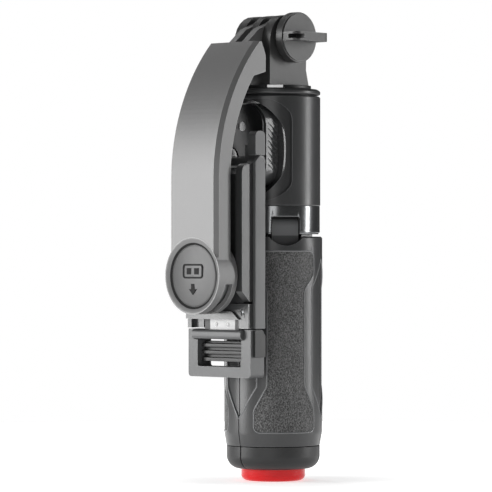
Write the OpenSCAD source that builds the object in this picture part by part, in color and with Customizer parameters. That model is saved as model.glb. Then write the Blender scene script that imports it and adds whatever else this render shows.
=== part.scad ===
/* [Grip] */
// Outside radius of the three closed legs
leg_r = 19.9; // [19.5:0.1:24]
// Length of a leg above its foot cap
leg_len = 84.6; // [70:0.1:110]
// Height of the black foot caps
foot_h = 9.3; // [7:0.1:13]
// Height of the round red cap
cap_h = 4.9; // [4:0.1:7]
// Radius of the round red cap
cap_r = 13; // [12:0.1:15]
// Seam between two neighbouring legs
leg_seam = 0.5; // [0.3:0.1:0.8]
// Radius of the leg hinge pins
pin_r = 1.25; // [1:0.05:1.6]
// Distance from the grip's axis to each leg hinge
hinge_reach = 14; // [13.8:0.1:14.6]
// Width of a leg's hinge tongue
tongue_w = 11; // [8:0.1:12]
// Thickness of the rubber grip inlays
inlay_t = 1; // [0.6:0.1:1.4]

/* [Upper body] */
// Height of the metal collar over the leg hinges
collar_h = 11.4; // [10.5:0.1:14]
// Radius of the metal collar
collar_r = 18.9; // [18.7:0.1:20]
// Height of the smooth body that holds the remote
upper_h = 44.3; // [42:0.1:55]
// Radius of the smooth body
upper_r = 19.1; // [18.9:0.1:22]
// Height of the ring above the smooth body
ring_h = 2.3; // [1.8:0.1:4]

/* [Remote] */
// Half the remote's width
remote_hw = 12.9; // [11:0.1:13.5]
// Height of the remote
remote_h = 34.6; // [30:0.1:36]
// Thickness of the remote's shell
remote_t = 6.6; // [5.5:0.1:7]
// How far the remote pulls out of its bay
remote_pull = 12; // [9:0.5:14]

/* [Pole] */
// Outside radius of the fixed outer tube
tube_r = 8; // [7.4:0.1:9]
// Wall thickness of each steel tube
tube_wall = 0.5; // [0.4:0.05:0.55]
// Step in outside radius from one tube to the next
tube_step = 0.7; // [0.65:0.01:0.8]

/* [Head] */
// Height of the tilt hinge above the neck's base
pivot_rise = 19.1; // [17:0.1:25]
// Half the neck's width
neck_hw = 10; // [9:0.1:13]
// Radius of the tilt bolt
bolt_r = 2.5; // [2:0.1:3]
// Radius of the knob
knob_r = 10.15; // [8:0.05:12]
// Thickness of each finger of the arm
finger_t = 3.4; // [3:0.1:4]

/* [Arm] */
// From the grip's axis to the arm's front face
arm_reach = 46.2; // [45:0.1:55]
// From the tilt hinge down to the motor's axis
arm_drop = 96; // [90:0.5:120]
// Half the arm's width
arm_hw = 13.5; // [12.5:0.1:15]
// Thickness of the arm
arm_t = 7.9; // [7:0.1:9.5]
// Wall thickness of the arm's shell
arm_wall = 1.6; // [1.2:0.1:2]
// Outside radius of the motor hub
hub_r = 15.2; // [14.5:0.1:17]

/* [Phone clamp] */
// Half the clamp body's width
clamp_hw = 17; // [16:0.1:20]
// Thickness of the clamp body's side walls
clamp_wall = 3.5; // [3:0.1:4]
// Travel of the spring-loaded jaw
jaw_travel = 28; // [15:1:30]
// Height of the lower jaw
jaw_h = 19.2; // [17:0.1:24]

/* [Clearances] */
// Radial clearance of a turning or sliding fit
run_gap = 0.05; // [0.02:0.01:0.08]
// Gap between parts that pass each other
free_gap = 0.3; // [0.2:0.05:0.4]
// Gap around an inserted part
seat_gap = 0.1; // [0.05:0.05:0.15]

/* [Hidden] */
$fn = 96;
eps = 0.01;

// heights of the grip and the upper body
foot_top = cap_h + foot_h;
leg_base = foot_top + free_gap;
leg_top = foot_top + leg_len;
collar_z = leg_top + 1;
upper_z = collar_z + collar_h;
ring_z = upper_z + upper_h + 0.6;
ring_top = ring_z + ring_h;
neck_z = ring_top + 1.6;
hinge_z = collar_z + 3.2;
hinge_head_r = 3.3;
slot_w = tongue_w + 0.4;
collar_in = collar_r - 1.65;
pin_half = sqrt(pow(collar_in - 0.1, 2) - pow(hinge_reach + pin_r, 2));
column_r = tube_r + 2;
leg_in = column_r + 0.5;
leg_count = 3;
leg_pitch = 360 / leg_count;
leg_azimuth = 60;

// nested steel tubes: number 0 is fixed, 1 to 4 slide
function tube_out(i) = tube_r - i * tube_step;
function tube_in(i) = tube_out(i) - tube_wall;
tube_floor = cap_h + 2.2;
floor_t = 1;
plug_h = 6;
function plug_z(i) = tube_floor + (i - 1) * (floor_t + 0.2);
function tube_top(i) = ring_top + 0.25 * i;

// remote and its bay
bay_z = upper_z + upper_h / 2 + 0.2;
bay_r = 20.5;
bay_hw = remote_hw + 3.5;
bay_floor = tube_r + 1.6;
remote_back = bay_floor + 1.2;
remote_front = remote_back + remote_t;
face_t = 1.4;
remote_z = bay_z + 1.6;
button_z = remote_z + 7.9;
key_z = remote_z - 6.6;
key_x = -5.5;

// tilt hinge, arm and motor, measured from the hinge
pivot_z = neck_z + pivot_rise;
finger_in = 1.9;
finger_out = finger_in + finger_t;
slot_in = finger_in - 0.2;
slot_out = finger_out + 0.2;
finger_r = 8.3;
neck_front = 12.2;
neck_top = 9.2;
slot_floor = finger_r + 4.8;
curve_r = 80.2;
curve_y = curve_r - arm_reach;
curve_z = 37.9 - arm_drop;
curve_in = curve_r - arm_t;
arm_end_y = 18.3;
hub_z = pivot_z - arm_drop;
hub_front = arm_reach + 0.1;
hub_back = 36;
hub_wall = 1.8;
cap_disc_r = hub_r - 2.9;
vent_w = 4.2;
shaft_r = 1.5;
bearing_r = 3.2;

// phone clamp: distances in front of the grip's axis and heights from the motor
wall_front = hub_back - 0.7;
floor_front = 31;
floor_t2 = 1.1;
floor_rear = floor_front - floor_t2;
tongue_t = 1.2;
tongue_front = floor_rear - free_gap;
tongue_rear = tongue_front - tongue_t;
cover_front = tongue_rear - free_gap;
cover_rear = 23.8;
tongue_hw = 9.5;
tongue_top = hub_z + 25;
spring_x = 5;
spring_wire = 0.22;
spring_r = 1.4;
spring_y = spring_r + 0.2 - floor_rear;
rail_t = 1.6;
jaw_front = 31;
jaw_rear = 23.3;
clamp_in = clamp_hw - clamp_wall;
clamp_top = hub_z + 47.9;
shoulder_z = hub_z + 40.9;
spring_top = clamp_top - 9.4;
bracket_z = hub_z - 20.9;
bracket_top = hub_z - 11.1;
screw_x = 13.8;
screw_z = bracket_z + 7;
screw_hole_r = 0.9;
jaw_top = bracket_z - 0.4;
jaw_pivot_y = -25;
jaw_pivot_z = jaw_top - 1.75;
jaw_pin_r = 0.8;
rivet_x = [-3.25, 3.25];
rivet_r = 0.9;
rivet_low = bracket_z - 1.9;
rivet_high = bracket_z + 1.5;
knuckle_hw = 13.7;
knuckle_h = 3.8;
window_hw = 12.3;
rib_count = 3;
rib_pitch = 2.8;
rib_w = 1.5;
rib_y = 3.2 - jaw_front;
post_pivot_y = -24.4;
post_pivot_z = clamp_top - 2.4;
post_front = 27.6;
post_rear = 22.2;
post_h = 9.5;
post_in = 12.8;

// ---- shared shapes ----

function unit(v) = v / norm(v);

// Points of an arc about a centre, from one angle to another
function arc(c, r, a0, a1, n = 24) =
    [for (i = [0 : n]) c + r * [cos(a0 + (a1 - a0) * i / n), sin(a0 + (a1 - a0) * i / n)]];

// The corner a-b-c of an outline, rounded with radius r
function corner(a, b, c, r, n) =
    let (
        u = unit(a - b),
        v = unit(c - b),
        half = acos(u * v) / 2,
        m = b + unit(u + v) * r / sin(half),
        s = b + u * r / tan(half) - m,
        e = b + v * r / tan(half) - m,
        turn = atan2(cross(s, e), s * e)
    )
    [for (i = [0 : n]) m + [
        s[0] * cos(turn * i / n) - s[1] * sin(turn * i / n),
        s[0] * sin(turn * i / n) + s[1] * cos(turn * i / n)
    ]];

// An outline with every corner rounded; a radius of 0 keeps the corner
function rounded(pts, radii, n = 6) =
    let (k = len(pts))
    [for (i = [0 : k - 1])
        let (r = is_list(radii) ? radii[i] : radii)
        each r == 0 ? [pts[i]] : corner(pts[(i + k - 1) % k], pts[i], pts[(i + 1) % k], r, n)];

function box_outline(hw, z0, z1) = [[-hw, z0], [hw, z0], [hw, z1], [-hw, z1]];

// Extrude an outline drawn in (y, z) along x
module slab_x(x0, x1) {
    translate([x0, 0, 0]) rotate([90, 0, 90]) linear_extrude(x1 - x0) children();
}

// Extrude an outline drawn in (x, z) along y
module slab_y(y0, y1) {
    translate([0, y1, 0]) rotate([90, 0, 0]) linear_extrude(y1 - y0) children();
}

module rod_x(r, x0, x1, y, z) {
    translate([x0, y, z]) rotate([0, 90, 0]) cylinder(r = r, h = x1 - x0);
}

module rod_y(r, y0, y1, x, z) {
    translate([x, y0, z]) rotate([-90, 0, 0]) cylinder(r = r, h = y1 - y0);
}

module rod_z(r, z0, z1) {
    translate([0, 0, z0]) cylinder(r = r, h = z1 - z0);
}

module ring_z(r_out, r_in, z0, z1) {
    difference() {
        rod_z(r_out, z0, z1);
        rod_z(r_in, z0 - 1, z1 + 1);
    }
}

module box(x0, x1, y0, y1, z0, z1) {
    translate([x0, y0, z0]) cube([x1 - x0, y1 - y0, z1 - z0]);
}

module both_sides() {
    children();
    mirror([1, 0, 0]) children();
}

// Turn a shape drawn along +x to the direction of leg i
module at_leg(i) {
    rotate([0, 0, leg_azimuth + (i - 1) * leg_pitch - 90]) children();
}

module every_leg() {
    for (i = [1 : leg_count]) at_leg(i) children();
}

// ---- grip ----

module base_cap() {
    color("red") {
        rotate_extrude()
            polygon(concat(
                [[0, 0], [cap_r - 3, 0]],
                arc([cap_r - 2.4, 2.4], 2.4, -75, 0, 8),
                [[cap_r, cap_h], [0, cap_h]]
            ));
        rod_z(column_r - 3, cap_h - eps, cap_h + 1);
    }
}

module centre_column() {
    color("dimgray") difference() {
        rod_z(column_r, cap_h, collar_z - 0.5);
        rod_z(column_r - 3 + seat_gap, cap_h - 1, cap_h + 1.1);
        rod_z(tube_r, tube_floor - 0.5, collar_z);
    }
}

module outer_tube() {
    color("silver") tube(0, tube_floor - 0.5);
}

// Steel tube number i with a lip at its mouth that guides the next one
module tube(i, z0) {
    difference() {
        rod_z(tube_out(i), z0, tube_top(i));
        rod_z(tube_in(i), z0 - 1, tube_top(i) - 2);
        rod_z(tube_out(i + 1) + run_gap, z0 - 1, tube_top(i) + 1);
    }
}

module leg_hub() {
    color("dimgray") difference() {
        rod_z(collar_in - 0.05, collar_z, upper_z);
        rod_z(tube_r, collar_z - 1, upper_z + 1);
        every_leg() {
            box(hinge_reach - hinge_head_r - free_gap, collar_r + 1, -slot_w / 2, slot_w / 2,
                collar_z - 1, hinge_z + hinge_head_r + free_gap);
            leg_pin(pin_r, collar_r);
        }
    }
}

module collar_ring() {
    color("gray") difference() {
        union() {
            ring_z(collar_r, collar_in, collar_z + 0.6, upper_z);
            ring_z(collar_r - 0.5, collar_in, collar_z, collar_z + 0.6 + eps);
        }
        every_leg() slab_x(10, collar_r + 1)
            polygon(rounded(
                box_outline(slot_w / 2 + 0.3, collar_z - 3, hinge_z + hinge_head_r + 0.5),
                [0, 0, 1, 1]
            ));
    }
}

module leg_pins() {
    color("silver") every_leg() leg_pin(pin_r, pin_half);
}

// A rod of the given half-length along a leg's hinge axis
module leg_pin(r, half) {
    translate([hinge_reach, half, hinge_z]) rotate([90, 0, 0]) cylinder(r = r, h = 2 * half);
}

// Hourglass outline of the rubber inlay, grown by g
function inlay_outline() =
    let (
        z0 = leg_base + 5.6,
        z1 = leg_top - 5.8,
        wide = leg_r * 0.628,
        waist = leg_r * 0.392
    )
    rounded([
        [-wide, z0], [wide, z0], [wide, z0 + 9], [waist, z0 + 18.8],
        [waist, z1 - 15.5], [wide, z1 - 9.4], [wide, z1], [-wide, z1],
        [-wide, z1 - 9.4], [-waist, z1 - 15.5], [-waist, z0 + 18.8], [-wide, z0 + 9]
    ], [2.5, 2.5, 4, 4, 4, 4, 2.5, 2.5, 4, 4, 4, 4]);

// One third of a turned shape, between two seams
module third() {
    half_seam = leg_seam / leg_r * 90 / PI;
    rotate([0, 0, half_seam - leg_pitch / 2])
        rotate_extrude(angle = leg_pitch - 2 * half_seam) children();
}

// A shallow spindle-shaped groove field beside each seam
module seam_recess() {
    z0 = leg_base + 11;
    z1 = leg_top - 9;
    for (side = [-1, 1]) rotate([0, 0, side * leg_pitch / 2]) difference() {
        slab_x(10, leg_r + 2)
            polygon([
                [0, z0], [8.2, z0 + 13], [8.2, z1 - 12], [0, z1],
                [-8.2, z1 - 12], [-8.2, z0 + 13]
            ]);
        rod_z(leg_r - 0.5, z0 - 1, z1 + 1);
    }
}

module leg(i) {
    lip_in = collar_r - 0.4;
    scoop_r = 8.9;
    color([0.2, 0.2, 0.2]) at_leg(i) {
        difference() {
            third() polygon([
                [leg_in, leg_base], [leg_r - 0.9, leg_base], [leg_r, leg_base + 5.5],
                [leg_r, leg_top - 0.6], [leg_r - 0.6, leg_top], [lip_in, leg_top],
                [leg_in, leg_top - (lip_in - leg_in)]
            ]);
            intersection() {
                slab_x(10, leg_r + 1) polygon(inlay_outline());
                ring_z(leg_r + 1, leg_r - inlay_t - 0.2, leg_base, leg_top);
            }
            seam_recess();
            translate([8, 0, leg_top + scoop_r - 3.7]) rotate([0, 90, 0])
                cylinder(r = scoop_r, h = leg_r);
            rod_z(leg_in, leg_base - 1, leg_base + 1);
        }
        difference() {
            union() {
                box(hinge_reach - hinge_head_r, hinge_reach + hinge_head_r,
                    -tongue_w / 2, tongue_w / 2, leg_top - 12, hinge_z);
                leg_pin(hinge_head_r, tongue_w / 2);
            }
            leg_pin(pin_r + run_gap, tongue_w);
        }
    }
}

module leg_grip(i) {
    color([0.13, 0.13, 0.13]) at_leg(i) intersection() {
        slab_x(10, leg_r + 1) offset(delta = -seat_gap) polygon(inlay_outline());
        ring_z(leg_r - 0.1, leg_r - inlay_t - 0.2, leg_base, leg_top);
    }
}

module leg_foot(i) {
    foot_round = 5.4;
    color([0.08, 0.08, 0.08]) at_leg(i) difference() {
        third() polygon(concat(
            [[leg_in, foot_top], [leg_in, cap_h + 0.6], [cap_r + 0.6, cap_h]],
            arc([leg_r - 1 - foot_round, cap_h + foot_round], foot_round, -75, 0, 10),
            [[leg_r - 1, foot_top]]
        ));
        rod_z(cap_r + free_gap, cap_h - 1, cap_h + free_gap);
    }
}

// ---- upper body ----

// Outline of the recess that holds the remote: an oval with slightly squared shoulders
module bay_outline(shrink) {
    squareness = 0.86;
    sides = 64;
    function reach(c) = sign(c) * pow(abs(c), squareness);
    translate([0, bay_z]) polygon([for (i = [0 : sides - 1])
        let (a = 360 * (i + 0.5) / sides)
        [(bay_hw - shrink) * reach(cos(a)), (bay_r - shrink) * reach(sin(a))]]);
}

module body_shell() {
    inner_r = upper_r - 2.2;
    top = upper_z + upper_h;
    color([0.2, 0.2, 0.2]) difference() {
        rotate_extrude() polygon([
            [tube_r + seat_gap, upper_z], [upper_r - 0.3, upper_z], [upper_r, upper_z + 0.3],
            [upper_r, top - 0.5], [upper_r - 0.5, top], [tube_r + seat_gap, top]
        ]);
        slab_y(-upper_r - 1, -bay_floor) bay_outline(0);
        difference() {
            slab_y(-upper_r - 1, 0)
                polygon(rounded(box_outline(bay_hw + 1.2, bay_z - bay_r, bay_z + bay_r + 0.2), 8));
            rod_z(upper_r - 0.9, upper_z, top);
        }
        difference() {
            rod_z(inner_r, upper_z - 1, top - 2.5);
            rod_z(tube_r + 2, upper_z - 2, top);
            box(-upper_r, upper_r, -upper_r, 3 - bay_floor, upper_z - 2, top);
        }
    }
}

module remote_bay() {
    color("black") difference() {
        slab_y(-remote_back + free_gap, -bay_floor) bay_outline(seat_gap);
        for (x = [-4, 0, 4]) rod_y(0.8, -remote_back, -bay_floor - 0.4, x, bay_z - 10);
    }
}

module top_ring() {
    color([0.2, 0.2, 0.2]) rotate_extrude() polygon([
        [tube_r + 1, ring_z - 0.6], [upper_r - 1.5, ring_z - 0.6], [upper_r - 1.5, ring_z],
        [upper_r - 0.4, ring_z], [upper_r, ring_z + 0.4], [upper_r, ring_top - 0.9],
        [upper_r - 1.2, ring_top], [tube_r + 1, ring_top]
    ]);
}

module pole_collar() {
    collar_out = 15.6;
    slot = 7;
    color("black") difference() {
        ring_z(collar_out, tube_r + seat_gap, ring_top, neck_z - 0.15);
        for (a = [0, 90]) rotate([0, 0, a - 43])
            box(-collar_out - 1, collar_out + 1, -slot / 2, slot / 2, ring_top + 0.3, neck_z);
    }
}

// ---- telescopic pole ----

module pole(i) {
    top = i == 4 ? neck_z + 4 : tube_top(i);
    color("silver") difference() {
        rod_z(tube_out(i), plug_z(i) + floor_t, top);
        rod_z(tube_in(i), plug_z(i), top - (i == 4 ? -1 : 2));
        if (i < 4) rod_z(tube_out(i + 1) + run_gap, plug_z(i), top + 1);
    }
}

// Bush at the foot of tube i: a closed floor and a spigot inside the tube
module pole_plug(i) {
    z0 = plug_z(i);
    color("white") {
        rod_z(tube_in(i - 1) - run_gap, z0, z0 + floor_t);
        if (i == 4) rod_z(tube_in(i), z0 + floor_t - eps, z0 + plug_h);
    }
}

// ---- head ----

module neck() {
    color([0.4, 0.4, 0.4]) difference() {
        translate([0, 0, pivot_z]) slab_x(-neck_hw, neck_hw) polygon(rounded([
            [-neck_front, -pivot_rise], [10.4, -pivot_rise], [8.8, 6.4 - pivot_rise],
            [9.6, neck_top], [-neck_front, neck_top]
        ], [0, 0, 3, 8.5, 10.5]));
        rod_z(tube_out(4), neck_z - 1, neck_z + 4);
        both_sides()
            box(slot_in, slot_out, -20, 20, pivot_z - slot_floor, pivot_z + 20);
        rod_x(bolt_r + run_gap, -neck_hw - 1, neck_hw + 1, 0, pivot_z);
        rod_x(5.2, -neck_hw - 1, 2 - neck_hw, 0, pivot_z);
    }
}

module tilt_bolt() {
    color("silver") rod_x(bolt_r, -neck_hw - 2.5, neck_hw + 0.6, 0, pivot_z);
}

module tilt_nut() {
    color("gray") difference() {
        union() {
            rod_x(8, -neck_hw - 3.4, -neck_hw, 0, pivot_z);
            rod_x(5.2, -neck_hw - eps, 2 - neck_hw, 0, pivot_z);
        }
        rod_x(bolt_r + run_gap, -neck_hw - 2.6, 3 - neck_hw, 0, pivot_z);
    }
}

module tilt_knob() {
    disc = neck_hw + 0.6;
    rim = disc + 4.4;
    blade = rim + 7.3;
    color([0.4, 0.4, 0.4]) translate([0, 0, pivot_z]) difference() {
        union() {
            rod_x(knob_r, disc + 0.6, rim - 0.5, 0, 0);
            rod_x(knob_r - 0.6, disc, rim, 0, 0);
            translate([0, 0, -1.75]) linear_extrude(3.5)
                polygon(rounded(
                    [[disc + 1, -9.6], [blade, -9.6], [blade, 9.6], [disc + 1, 9.6]],
                    [0, 2.5, 2.5, 0]
                ));
        }
        rod_x(bolt_r, disc - 1, disc + 0.01, 0, 0);
        box(rim + 2.6, blade + 1, -9.7, -4.9, -0.9, 0.9);
    }
}

// ---- arm and motor ----

// Sweep a section, drawn as (radius from the curve's centre, x), down and around the arm
module arm_sweep(straight, angle) {
    translate([0, curve_y, pivot_z + curve_z]) rotate([90, 0, -90]) {
        rotate_extrude(angle = angle, $fn = 240) children();
        rotate([90, 0, 0]) linear_extrude(straight) children();
    }
}

module arm_side() {
    straight = arm_drop + curve_z;
    c = [curve_y, curve_z];
    translate([0, 0, pivot_z]) slab_x(-arm_hw, arm_hw) polygon(concat(
        [[-arm_reach, -arm_drop]],
        arc(c, curve_r, 180, 136, 30),
        [[-20.6, -2.6], [-arm_end_y, -7.9], [-arm_end_y, -14.5]],
        arc(c, curve_in, 144.7, 180, 24),
        [[curve_y - curve_in, -straight + curve_z]]
    ));
}

module finger_outline() {
    circle(r = finger_r);
    polygon([
        [-4.9, 6.7], [-13.8, 3.2], [-20.6, -2.6], [-21.5, -12], [-arm_end_y, -12], [-2, -8.05]
    ]);
}

module arm_shell() {
    bevel = 1.6;
    far = curve_in - 22;
    color([0.5, 0.5, 0.5]) difference() {
        union() {
            intersection() {
                arm_side();
                arm_sweep(arm_drop + curve_z, 60) polygon([
                    [far, -arm_hw], [curve_r - bevel, -arm_hw], [curve_r, bevel - arm_hw],
                    [curve_r, arm_hw - bevel], [curve_r - bevel, arm_hw], [far, arm_hw]
                ]);
            }
            rod_y(hub_r, -hub_front, -hub_back, 0, hub_z);
            translate([0, 0, pivot_z]) both_sides() slab_x(finger_in, finger_out) finger_outline();
        }
        // space for the battery and the board, open towards the grip
        difference() {
            arm_sweep(arm_drop + curve_z, 30)
                translate([curve_in - 1, arm_wall + 0.4 - arm_hw])
                square([arm_t + 1 - arm_wall, 2 * (arm_hw - arm_wall - 0.4)]);
            rod_y(hub_r - 0.4, -hub_front, -hub_back, 0, hub_z);
        }
        // motor chamber, bearing boss and the recess for the cap
        difference() {
            rod_y(hub_r - hub_wall, -hub_front + 3.3, -hub_back + 1, 0, hub_z);
            rod_y(bearing_r + 1.2, -hub_front, -hub_front + 7.8, 0, hub_z);
        }
        rod_y(bearing_r, -hub_front + 2.7, -hub_back, 0, hub_z);
        rod_y(cap_disc_r + seat_gap, -hub_front + 1, -hub_front + 2.2, 0, hub_z);
        translate([0, -hub_front - eps, hub_z]) rotate([-90, 0, 0])
            cylinder(r1 = hub_r - 0.5, r2 = cap_disc_r + seat_gap, h = 1.2);
        vent_slot();
        rod_x(bolt_r + run_gap, -20, 20, 0, pivot_z);
        for (z = cover_screw_z()) rod_y(0.9, -hub_front + 2, -hub_back, 0, z);
    }
    color([0.5, 0.5, 0.5]) for (z = cover_screw_z()) screw_post(z);
}

// The slot in the hub's side that lets the motor's air out
module vent_slot() {
    translate([0, -hub_back - vent_w - 2.4, hub_z]) rotate([-90, 0, 0])
        rotate([0, 0, 12]) rotate_extrude(angle = 63) translate([hub_r - 2.5, 0]) square([4, vent_w]);
}

function cover_screw_z() = [hub_z + hub_r + 1.9, pivot_z + curve_z - 1.7];

module screw_post(z) {
    difference() {
        rod_y(1.9, -hub_front + 1.5, arm_t - arm_reach - arm_wall - seat_gap, 0, z);
        rod_y(0.9, -hub_front + 2, -hub_back, 0, z);
    }
}

module arm_cover() {
    color([0.15, 0.15, 0.15]) difference() {
        arm_sweep(arm_drop + curve_z, 29.7)
            translate([curve_in, arm_wall + 0.5 - arm_hw])
            square([arm_wall - 0.1, 2 * (arm_hw - arm_wall - 0.5)]);
        rod_y(hub_r + seat_gap, -hub_front, -hub_back + 5, 0, hub_z);
        for (z = cover_screw_z()) rod_y(1, -arm_reach, -hub_back + 5, 0, z);
    }
}

module cover_screws() {
    inner = arm_t - arm_reach;
    color("silver") for (z = cover_screw_z()) {
        rod_y(0.9, inner - 4.5, inner + 0.3, 0, z);
        rod_y(1.6, inner, inner + 0.6, 0, z);
    }
}

module battery() {
    z0 = hub_z + hub_r + 4.6;
    z1 = cover_screw_z()[1] - 2.2;
    color("royalblue") box(-9.5, 9.5, -arm_reach + arm_wall, arm_t - arm_reach - arm_wall - 0.2, z0, z1);
}

module control_board() {
    mid = 15;
    color("green") translate([0, curve_y, pivot_z + curve_z]) rotate([90, 0, -90])
        rotate([0, 0, mid]) translate([curve_r - arm_wall - 2.2, -11, -9]) cube([1.2, 22, 18]);
}

module motor_cap() {
    crown = 0.8;
    steps = 8;
    color([0.35, 0.35, 0.35]) translate([0, -hub_front + 2.2, hub_z]) rotate([90, 0, 0])
        rotate_extrude() polygon(concat(
            [[0, 0], [cap_disc_r, 0]],
            [for (i = [0 : steps]) let (x = cap_disc_r * (1 - i / steps))
                [x, 1 + crown * (1 - pow(x / cap_disc_r, 2))]]
        ));
}

module motor_stator() {
    teeth = 9;
    front = -hub_front + 3.6;
    color("peru") translate([0, front, hub_z]) rotate([-90, 0, 0]) difference() {
        union() {
            cylinder(r = 6.4, h = 4);
            for (i = [0 : teeth - 1]) rotate([0, 0, 360 / teeth * i]) {
                translate([5.5, -1.1, 0.3]) cube([4.2, 2.2, 3.4]);
                intersection() {
                    translate([9, -3.1, 0]) cube([3, 6.2, 4]);
                    cylinder(r = 10.9, h = 4);
                }
            }
        }
        translate([0, 0, -1]) cylinder(r = bearing_r + 1.2, h = 6);
    }
}

module motor_bearings() {
    color("silver") for (y = [-hub_front + 2.8, -hub_front + 5.6]) difference() {
        rod_y(bearing_r, y, y + 2, 0, hub_z);
        rod_y(shaft_r + run_gap, y - 1, y + 3, 0, hub_z);
    }
}

module motor_rotor() {
    bell_r = hub_r - hub_wall - 0.4;
    color("dimgray") {
        difference() {
            rod_y(bell_r, -hub_back - 6.2, -hub_back - 0.2, 0, hub_z);
            rod_y(bell_r - 1.6, -hub_back - 7, -hub_back - 1.4, 0, hub_z);
        }
        rod_y(shaft_r, -hub_front + 3, -hub_back - 1, 0, hub_z);
        difference() {
            rod_y(7, -hub_back - 0.3, -floor_front, 0, hub_z);
            for (a = [45 : 90 : 315]) rod_y(0.8, -floor_front - 3, -floor_front + 1,
                5 * cos(a), hub_z + 5 * sin(a));
        }
    }
}

// ---- phone clamp ----

// Side view of a clamp wall, with its swept shoulder and the ear for the upper jaw
module clamp_wall_side() {
    z0 = hub_z - 6.1;
    z1 = shoulder_z;
    polygon(concat(
        [[-floor_rear, z0 - 4], [-floor_front, z0 - 4], [-wall_front, z0]],
        arc([-wall_front + 3.9, z1], 3.9, 180, 110, 8),
        arc([-post_front - 4.1, clamp_top + 0.4], 4.1, -80, 0, 8),
        [[-post_front, clamp_top], [post_pivot_y, clamp_top], [post_pivot_y, post_pivot_z - 4],
         [-cover_front, post_pivot_z - 8], [-cover_front, z0]]
    ));
    translate([post_pivot_y, post_pivot_z]) circle(r = 2.4);
}

module clamp_body() {
    pocket_hw = tongue_hw + free_gap;
    top = clamp_top - 7.2;
    low = bracket_top + 0.3;
    color([0.25, 0.25, 0.25]) difference() {
        union() {
            both_sides() slab_x(clamp_in, clamp_hw) clamp_wall_side();
            box(-clamp_in - eps, clamp_in + eps, -floor_front, -floor_rear, low, top);
            both_sides() box(pocket_hw, clamp_in + eps, -floor_front, -cover_front, low, top);
            box(-pocket_hw, pocket_hw, -floor_front, -cover_front, top - 2, top);
        }
        rod_x(jaw_pin_r, -clamp_hw - 1, clamp_hw + 1, post_pivot_y, post_pivot_z);
        for (a = [45 : 90 : 315]) rod_y(0.8, -floor_front - 1, -floor_rear + 1,
            5 * cos(a), hub_z + 5 * sin(a));
        for (x = [-12, 12]) rod_y(0.7, -cover_front - 2, -cover_front + 1, x, hub_z + 26);
    }
}

// Front plate below the motor: carries the tongue's way out
module clamp_bracket() {
    out = clamp_hw;
    z_in = bracket_top;
    color([0.35, 0.35, 0.35]) difference() {
        union() {
            slab_y(-floor_front - 0.9, -cover_front) polygon([
                [-out, bracket_z], [out, bracket_z], [out, z_in], [-out, z_in]
            ]);
            slab_y(-floor_front - 2, -floor_front) polygon([
                [-12.7, bracket_z + 3.6], [12.7, bracket_z + 3.6], [8.8, z_in - 3], [-out, z_in - 3],
                [-out, bracket_z + 3.6]
            ]);
        }
        // the tongue's path and the window that shows it
        box(-tongue_hw - free_gap, tongue_hw + free_gap, -tongue_front - free_gap,
            -cover_front + 1, bracket_z - 1, z_in + 1);
        box(-14.9, 12.7, -floor_front - 3, -tongue_front - free_gap + eps,
            bracket_z - 1, bracket_z + 3.6);
        rod_y(screw_hole_r, -floor_front - 3, -cover_front + 1, screw_x, screw_z);
    }
}

module clamp_back() {
    z0 = bracket_z;
    z1 = post_pivot_z - 8.2;
    color([0.12, 0.12, 0.12]) difference() {
        slab_y(-cover_front, -cover_rear) polygon(rounded(box_outline(clamp_hw, z0, z1), 1.5));
        both_sides() box(spring_x - spring_r - free_gap, spring_x + spring_r + free_gap,
            -cover_front - 1, spring_y + spring_r + free_gap,
            tongue_top - jaw_travel - 0.5, spring_top + free_gap);
        for (x = [-12, 12]) rod_y(0.75, -cover_front - 1, -cover_rear + 1, x, hub_z + 26);
        rod_y(screw_hole_r, -cover_front - 1, -cover_rear + 1, screw_x, screw_z);
    }
}

module clamp_rails() {
    z1 = clamp_top - 0.7;
    color("gray") both_sides() slab_x(clamp_hw, clamp_hw + rail_t) polygon([
        [-29.4, bracket_z], [-23.6, bracket_z], [-23.6, z1 - 3.5], [-26.5, z1 + 1], [-29.4, z1 - 2]
    ]);
}

module clamp_spring() {
    turns = 7;
    z0 = tongue_top + 2 * spring_wire;
    z1 = spring_top - spring_wire;
    sides = 6;
    steps = 12 * turns;
    function wire_point(i, j) =
        let (
            a = 360 * turns * i / steps,
            r = spring_r - spring_wire + spring_wire * cos(360 * j / sides)
        )
        [r * cos(a), r * sin(a), (z1 - z0) * i / steps + spring_wire * sin(360 * j / sides)];
    pts = [for (i = [0 : steps]) for (j = [0 : sides - 1]) wire_point(i, j)];
    walls = [for (i = [0 : steps - 1]) for (j = [0 : sides - 1])
        [i * sides + j, (i + 1) * sides + j, (i + 1) * sides + (j + 1) % sides,
         i * sides + (j + 1) % sides]];
    ends = [[for (j = [0 : sides - 1]) j], [for (j = [0 : sides - 1]) (steps + 1) * sides - 1 - j]];
    color("silver") for (x = [-spring_x, spring_x])
        translate([x, spring_y, z0]) polyhedron(points = pts, faces = concat(walls, ends));
}

module clamp_screws() {
    color("silver") {
        for (a = [45 : 90 : 315]) translate([5 * cos(a), 0, hub_z + 5 * sin(a)])
            rod_y(0.75, -floor_front - 2.8, -floor_rear, 0, 0);
        for (x = [-12, 12]) {
            rod_y(0.7, -cover_front - 1.8, -cover_rear - 0.4, x, hub_z + 26);
        }
        rod_y(screw_hole_r - 0.05, -floor_front - 0.7, -cover_rear - 0.4, screw_x, screw_z);
    }
}

module slide_tongue() {
    color("silver") difference() {
        box(-tongue_hw, tongue_hw, -tongue_front, -tongue_rear, rivet_low - 2, tongue_top);
        for (x = rivet_x, z = [rivet_low, rivet_high])
            rod_y(rivet_r, -tongue_front - 1, -tongue_rear + 1, x, z);
    }
}

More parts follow.
